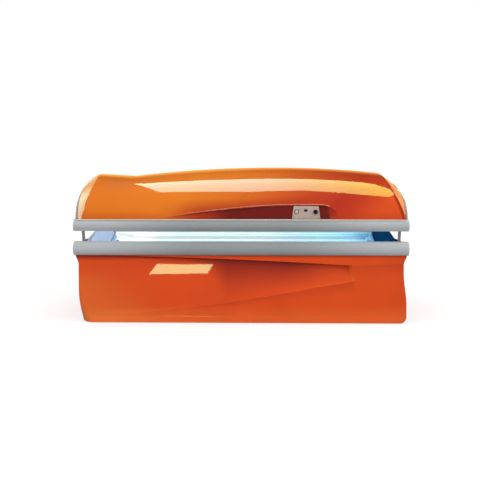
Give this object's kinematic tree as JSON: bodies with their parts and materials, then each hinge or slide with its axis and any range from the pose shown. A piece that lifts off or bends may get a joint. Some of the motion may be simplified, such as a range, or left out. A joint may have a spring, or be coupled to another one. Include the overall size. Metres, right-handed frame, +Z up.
{
  "type": "clamshell tanning bed",
  "caption": "Closed clamshell tanning bed: an orange sculpted bench and canopy, silver front rails, lit lamps in the gap, and a rear hinge with gas struts.",
  "frame": {"origin": "on the floor under the middle of the bed's bounding box", "axes": "+X along the bed towards the control panel's end, -Y out of the front, +Z up"},
  "size_m": [2.25, 1.12, 1.052],
  "materials": {
    "orange_gloss": "metallic orange under a glossy clear coat",
    "rail_aluminium": "satin anodised",
    "grey_plastic": "fine matte texture",
    "frame_steel": "grey powder coat",
    "reflector": "bright rolled sheet",
    "lamp_glass": "white coated lamp tube, lit",
    "clear_acrylic": "clear polished sheet",
    "panel_silver": "satin silver",
    "chrome": "polished",
    "black_plastic": "satin black",
    "strut_paint": "grey enamel",
    "foot_rubber": "matte"
  },
  "bodies": {
    "bench": {"bench_front_panel": "orange_gloss", "bench_end_panel_left": "orange_gloss", "bench_end_panel_right": "orange_gloss", "bench_rail": "rail_aluminium", "bench_rail_cap_left": "grey_plastic", "bench_rail_cap_right": "grey_plastic", "bench_end_trim_left": "grey_plastic", "bench_end_trim_right": "grey_plastic", "bench_lampholder_left": "grey_plastic", "bench_lampholder_right": "grey_plastic", "bench_rear_panel": "grey_plastic", "base_frame": "frame_steel", "ballast_box": "frame_steel", "bench_reflector": "reflector", "bench_lamp_1": "lamp_glass", "bench_lamp_2": "lamp_glass", "bench_lamp_3": "lamp_glass", "bench_lamp_4": "lamp_glass", "bench_lamp_5": "lamp_glass", "bench_lamp_6": "lamp_glass", "bench_lamp_7": "lamp_glass", "bench_acrylic": "clear_acrylic", "hinge_pin_left": "chrome", "hinge_pin_right": "chrome", "fan_housing": "black_plastic", "mains_inlet": "black_plastic", "foot_front_left": "foot_rubber", "foot_front_right": "foot_rubber", "foot_rear_left": "foot_rubber", "foot_rear_right": "foot_rubber"},
    "canopy": {"canopy_cover": "orange_gloss", "canopy_rear_cover": "orange_gloss", "canopy_rail": "rail_aluminium", "canopy_rail_cap_left": "grey_plastic", "canopy_rail_cap_right": "grey_plastic", "canopy_end_cap_left": "grey_plastic", "canopy_end_cap_right": "grey_plastic", "canopy_lampholder_left": "grey_plastic", "canopy_lampholder_right": "grey_plastic", "canopy_frame": "frame_steel", "canopy_reflector": "reflector", "canopy_lamp_1": "lamp_glass", "canopy_lamp_2": "lamp_glass", "canopy_lamp_3": "lamp_glass", "canopy_lamp_4": "lamp_glass", "canopy_lamp_5": "lamp_glass", "canopy_lamp_6": "lamp_glass", "canopy_lamp_7": "lamp_glass", "canopy_acrylic": "clear_acrylic", "control_panel": "panel_silver", "display_window": "black_plastic"},
    "left_strut_tube": {"strut_tube_left": "strut_paint"},
    "right_strut_tube": {"strut_tube_right": "strut_paint"},
    "left_strut_rod": {"strut_rod_left": "chrome"},
    "right_strut_rod": {"strut_rod_right": "chrome"},
    "fan": {"fan_rotor": "black_plastic"},
    "knob": {"fan_knob": "black_plastic"},
    "button": {"start_button": "chrome"}
  },
  "joints": [
    {"name": "canopy_hinge", "type": "hinge", "parent": "bench", "child": "canopy", "pos_m": [0, 0.49, 0.6], "axis": [-1, 0, 0], "range_deg": [0, 35]},
    {"name": "strut_left_swing", "type": "hinge", "parent": "bench", "child": "left_strut_tube", "pos_m": [-1.078, -0.30119, 0.06], "axis": [-1, 0, 0], "range_deg": [0, 17.6]},
    {"name": "strut_left_slide", "type": "slide", "parent": "left_strut_tube", "child": "left_strut_rod", "axis": [0, -0.2624, 0.965], "range_m": [0, 0.517]},
    {"name": "strut_right_swing", "type": "hinge", "parent": "bench", "child": "right_strut_tube", "pos_m": [1.078, -0.30119, 0.06], "axis": [-1, 0, 0], "range_deg": [0, 17.6]},
    {"name": "strut_right_slide", "type": "slide", "parent": "right_strut_tube", "child": "right_strut_rod", "axis": [0, -0.2624, 0.965], "range_m": [0, 0.517]},
    {"name": "fan_spin", "type": "hinge", "parent": "bench", "child": "fan", "pos_m": [0, 0.52, 0.27], "axis": [0, 1, 0], "continuous": true},
    {"name": "knob_turn", "type": "hinge", "parent": "canopy", "child": "knob", "pos_m": [0.503, -0.53, 0.75], "axis": [0, -1, 0], "range_deg": [0, 270]},
    {"name": "button_press", "type": "slide", "parent": "canopy", "child": "button", "axis": [0, 1, 0], "range_m": [0, 0.004], "stiffness_N_per_m": 300}
  ],
  "couplings": [
    {"joint": "strut_left_swing", "follows": "canopy_hinge", "ratio": 0.5},
    {"joint": "strut_left_slide", "follows": "canopy_hinge", "m_per_rad": 0.84365},
    {"joint": "strut_right_swing", "follows": "canopy_hinge", "ratio": 0.5},
    {"joint": "strut_right_slide", "follows": "canopy_hinge", "m_per_rad": 0.84365}
  ]
}
